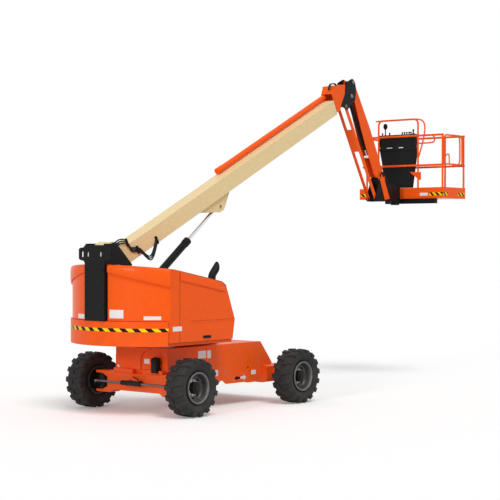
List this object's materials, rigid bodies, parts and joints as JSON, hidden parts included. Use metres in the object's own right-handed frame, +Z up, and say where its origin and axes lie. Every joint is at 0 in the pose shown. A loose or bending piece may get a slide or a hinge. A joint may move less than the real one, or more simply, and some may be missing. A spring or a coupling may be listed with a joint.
{
  "type": "telescopic boom lift",
  "caption": "Self-propelled aerial work platform with a swinging turntable, extending boom, levelling jib and railed platform on rough-terrain tyres.",
  "frame": {"origin": "on the ground under the middle of the machine's outline box, as parked", "axes": "+X towards the platform end, +Y to the left when facing the platform end, +Z up"},
  "size_m": [8.545, 2.355, 5.35],
  "materials": {
    "orange_paint": "gloss enamel",
    "cream_paint": "gloss enamel",
    "black_paint": "satin",
    "tyre": "matte",
    "wheel_grey": "satin",
    "rod_chrome": "polished",
    "ballast": "gloss enamel",
    "engine": "satin",
    "hood_shell": "moulded gloss",
    "black_plastic": "matte",
    "floor_plate": "satin",
    "hose_tube": "satin"
  },
  "bodies": {
    "chassis": {"chassis_frame": "orange_paint", "steer_axle": "orange_paint", "drive_axle": "orange_paint", "swing_bearing": "black_paint", "steer_cylinder_barrel": "black_paint"},
    "steer_rod": {"steer_cylinder_rod": "rod_chrome"},
    "knuckle_left": {"knuckle_left": "black_paint"},
    "knuckle_right": {"knuckle_right": "black_paint"},
    "turntable": {"turntable_deck": "orange_paint", "turntable_uprights": "black_paint", "tail_plate": "black_paint", "counterweight": "ballast", "engine_block": "engine"},
    "hood_left": {"hood_left": "hood_shell"},
    "hood_right": {"hood_right": "hood_shell", "exhaust_stack": "black_paint"},
    "boom": {"boom_base": "cream_paint"},
    "fly": {"boom_fly": "orange_paint", "nose_fork": "black_paint", "hose_track": "hose_tube"},
    "level_bracket": {"level_bracket": "black_paint"},
    "jib_upper_arm": {"jib_upper_arm": "orange_paint"},
    "jib_lower_arm": {"jib_lower_arm": "orange_paint"},
    "jib_foot": {"jib_foot_bracket": "orange_paint", "platform_rotator": "black_paint"},
    "platform": {"platform_support": "black_paint", "platform_floor": "floor_plate", "platform_toe_boards": "orange_paint", "platform_rails": "orange_paint", "platform_console": "black_plastic", "console_panel": "black_plastic"},
    "gate": {"platform_gate": "orange_paint"},
    "lift_barrel": {"lift_cylinder_barrel": "black_paint"},
    "lift_rod": {"lift_cylinder_rod": "rod_chrome"},
    "jib_barrel": {"jib_cylinder_barrel": "black_paint"},
    "jib_rod": {"jib_cylinder_rod": "rod_chrome"},
    "wheel_steer_left": {"tyre_steer_left": "tyre", "rim_steer_left": "wheel_grey"},
    "wheel_steer_right": {"tyre_steer_right": "tyre", "rim_steer_right": "wheel_grey"},
    "wheel_drive_left": {"tyre_drive_left": "tyre", "rim_drive_left": "wheel_grey"},
    "wheel_drive_right": {"tyre_drive_right": "tyre", "rim_drive_right": "wheel_grey"}
  },
  "joints": [
    {"name": "swing", "type": "hinge", "parent": "chassis", "child": "turntable", "pos_m": [-2.105, 0, 1.03], "axis": [0, 0, 1], "continuous": true},
    {"name": "boom_lift", "type": "hinge", "parent": "turntable", "child": "boom", "pos_m": [-4.105, 0, 2.36], "axis": [0, -1, 0], "range_deg": [-26.2, 48.8]},
    {"name": "boom_extend", "type": "slide", "parent": "boom", "child": "fly", "axis": [0.8973, 0, 0.4415], "range_m": [0, 4.3]},
    {"name": "bracket_level", "type": "hinge", "parent": "fly", "child": "level_bracket", "pos_m": [1.82216, 0, 5.04582], "axis": [0, -1, 0], "range_deg": [-48.8, 26.2]},
    {"name": "jib_lift", "type": "hinge", "parent": "level_bracket", "child": "jib_upper_arm", "pos_m": [1.895, 0, 5.29], "axis": [0, -1, 0], "range_deg": [0, 115]},
    {"name": "jib_link", "type": "hinge", "parent": "level_bracket", "child": "jib_lower_arm", "pos_m": [1.695, 0, 4.865], "axis": [0, -1, 0], "range_deg": [0, 115]},
    {"name": "jib_foot_level", "type": "hinge", "parent": "jib_upper_arm", "child": "jib_foot", "pos_m": [2.81, 0, 3.70517], "axis": [0, -1, 0], "range_deg": [-115, 0]},
    {"name": "platform_rotate", "type": "hinge", "parent": "jib_foot", "child": "platform", "pos_m": [3.335, 0, 3.3], "axis": [0, 0, 1], "range_deg": [-90, 90]},
    {"name": "gate_swing", "type": "hinge", "parent": "platform", "child": "gate", "pos_m": [4.206, -0.896, 3.9], "axis": [0, 0, -1], "range_deg": [0, 90]},
    {"name": "hood_left_lift", "type": "hinge", "parent": "turntable", "child": "hood_left", "pos_m": [-3.625, 0.215, 2.112], "axis": [0.9874, 0, -0.1582], "range_deg": [0, 55]},
    {"name": "hood_right_lift", "type": "hinge", "parent": "turntable", "child": "hood_right", "pos_m": [-3.625, -0.215, 2.112], "axis": [-0.9874, 0, 0.1582], "range_deg": [0, 55]},
    {"name": "steer_left", "type": "hinge", "parent": "chassis", "child": "knuckle_left", "pos_m": [-3.325, 0.78, 0.423], "axis": [0, 0, 1], "range_deg": [-38, 38]},
    {"name": "steer_right", "type": "hinge", "parent": "chassis", "child": "knuckle_right", "pos_m": [-3.325, -0.78, 0.423], "axis": [0, 0, 1], "range_deg": [-38, 38]},
    {"name": "steer_slide", "type": "slide", "parent": "chassis", "child": "steer_rod", "axis": [0, 1, 0], "range_m": [-0.14, 0.14]},
    {"name": "wheel_steer_left", "type": "hinge", "parent": "knuckle_left", "child": "wheel_steer_left", "pos_m": [-3.325, 1.014, 0.423], "axis": [0, 1, 0], "continuous": true},
    {"name": "wheel_drive_left", "type": "hinge", "parent": "chassis", "child": "wheel_drive_left", "pos_m": [-0.885, 1.014, 0.423], "axis": [0, 1, 0], "continuous": true},
    {"name": "wheel_steer_right", "type": "hinge", "parent": "knuckle_right", "child": "wheel_steer_right", "pos_m": [-3.325, -1.014, 0.423], "axis": [0, 1, 0], "continuous": true},
    {"name": "wheel_drive_right", "type": "hinge", "parent": "chassis", "child": "wheel_drive_right", "pos_m": [-0.885, -1.014, 0.423], "axis": [0, 1, 0], "continuous": true},
    {"name": "lift_barrel_swing", "type": "hinge", "parent": "turntable", "child": "lift_barrel", "pos_m": [-3.942, 0, 1.26], "axis": [0, -1, 0], "range_deg": [-20.6, 38.4]},
    {"name": "lift_rod_slide", "type": "slide", "parent": "lift_barrel", "child": "lift_rod", "axis": [0.7922, 0, 0.6102], "range_m": [-0.476, 0.887]},
    {"name": "jib_barrel_swing", "type": "hinge", "parent": "level_bracket", "child": "jib_barrel", "pos_m": [1.945, 0, 4.93], "axis": [0, -1, 0], "range_deg": [0, 125]},
    {"name": "jib_rod_slide", "type": "slide", "parent": "jib_barrel", "child": "jib_rod", "axis": [0.5003, 0, -0.8659], "range_m": [0, 0.61]}
  ],
  "couplings": [
    {"joint": "bracket_level", "follows": "boom_lift", "ratio": -1},
    {"joint": "jib_link", "follows": "jib_lift", "ratio": 1},
    {"joint": "jib_foot_level", "follows": "jib_lift", "ratio": -1},
    {"joint": "steer_right", "follows": "steer_left", "ratio": 1},
    {"joint": "steer_slide", "follows": "steer_left", "m_per_rad": -0.2},
    {"joint": "lift_barrel_swing", "follows": "boom_lift", "ratio": 0.785},
    {"joint": "lift_rod_slide", "follows": "boom_lift", "m_per_rad": 1.04},
    {"joint": "jib_barrel_swing", "follows": "jib_lift", "ratio": 1.07},
    {"joint": "jib_rod_slide", "follows": "jib_lift", "m_per_rad": 0.3}
  ]
}
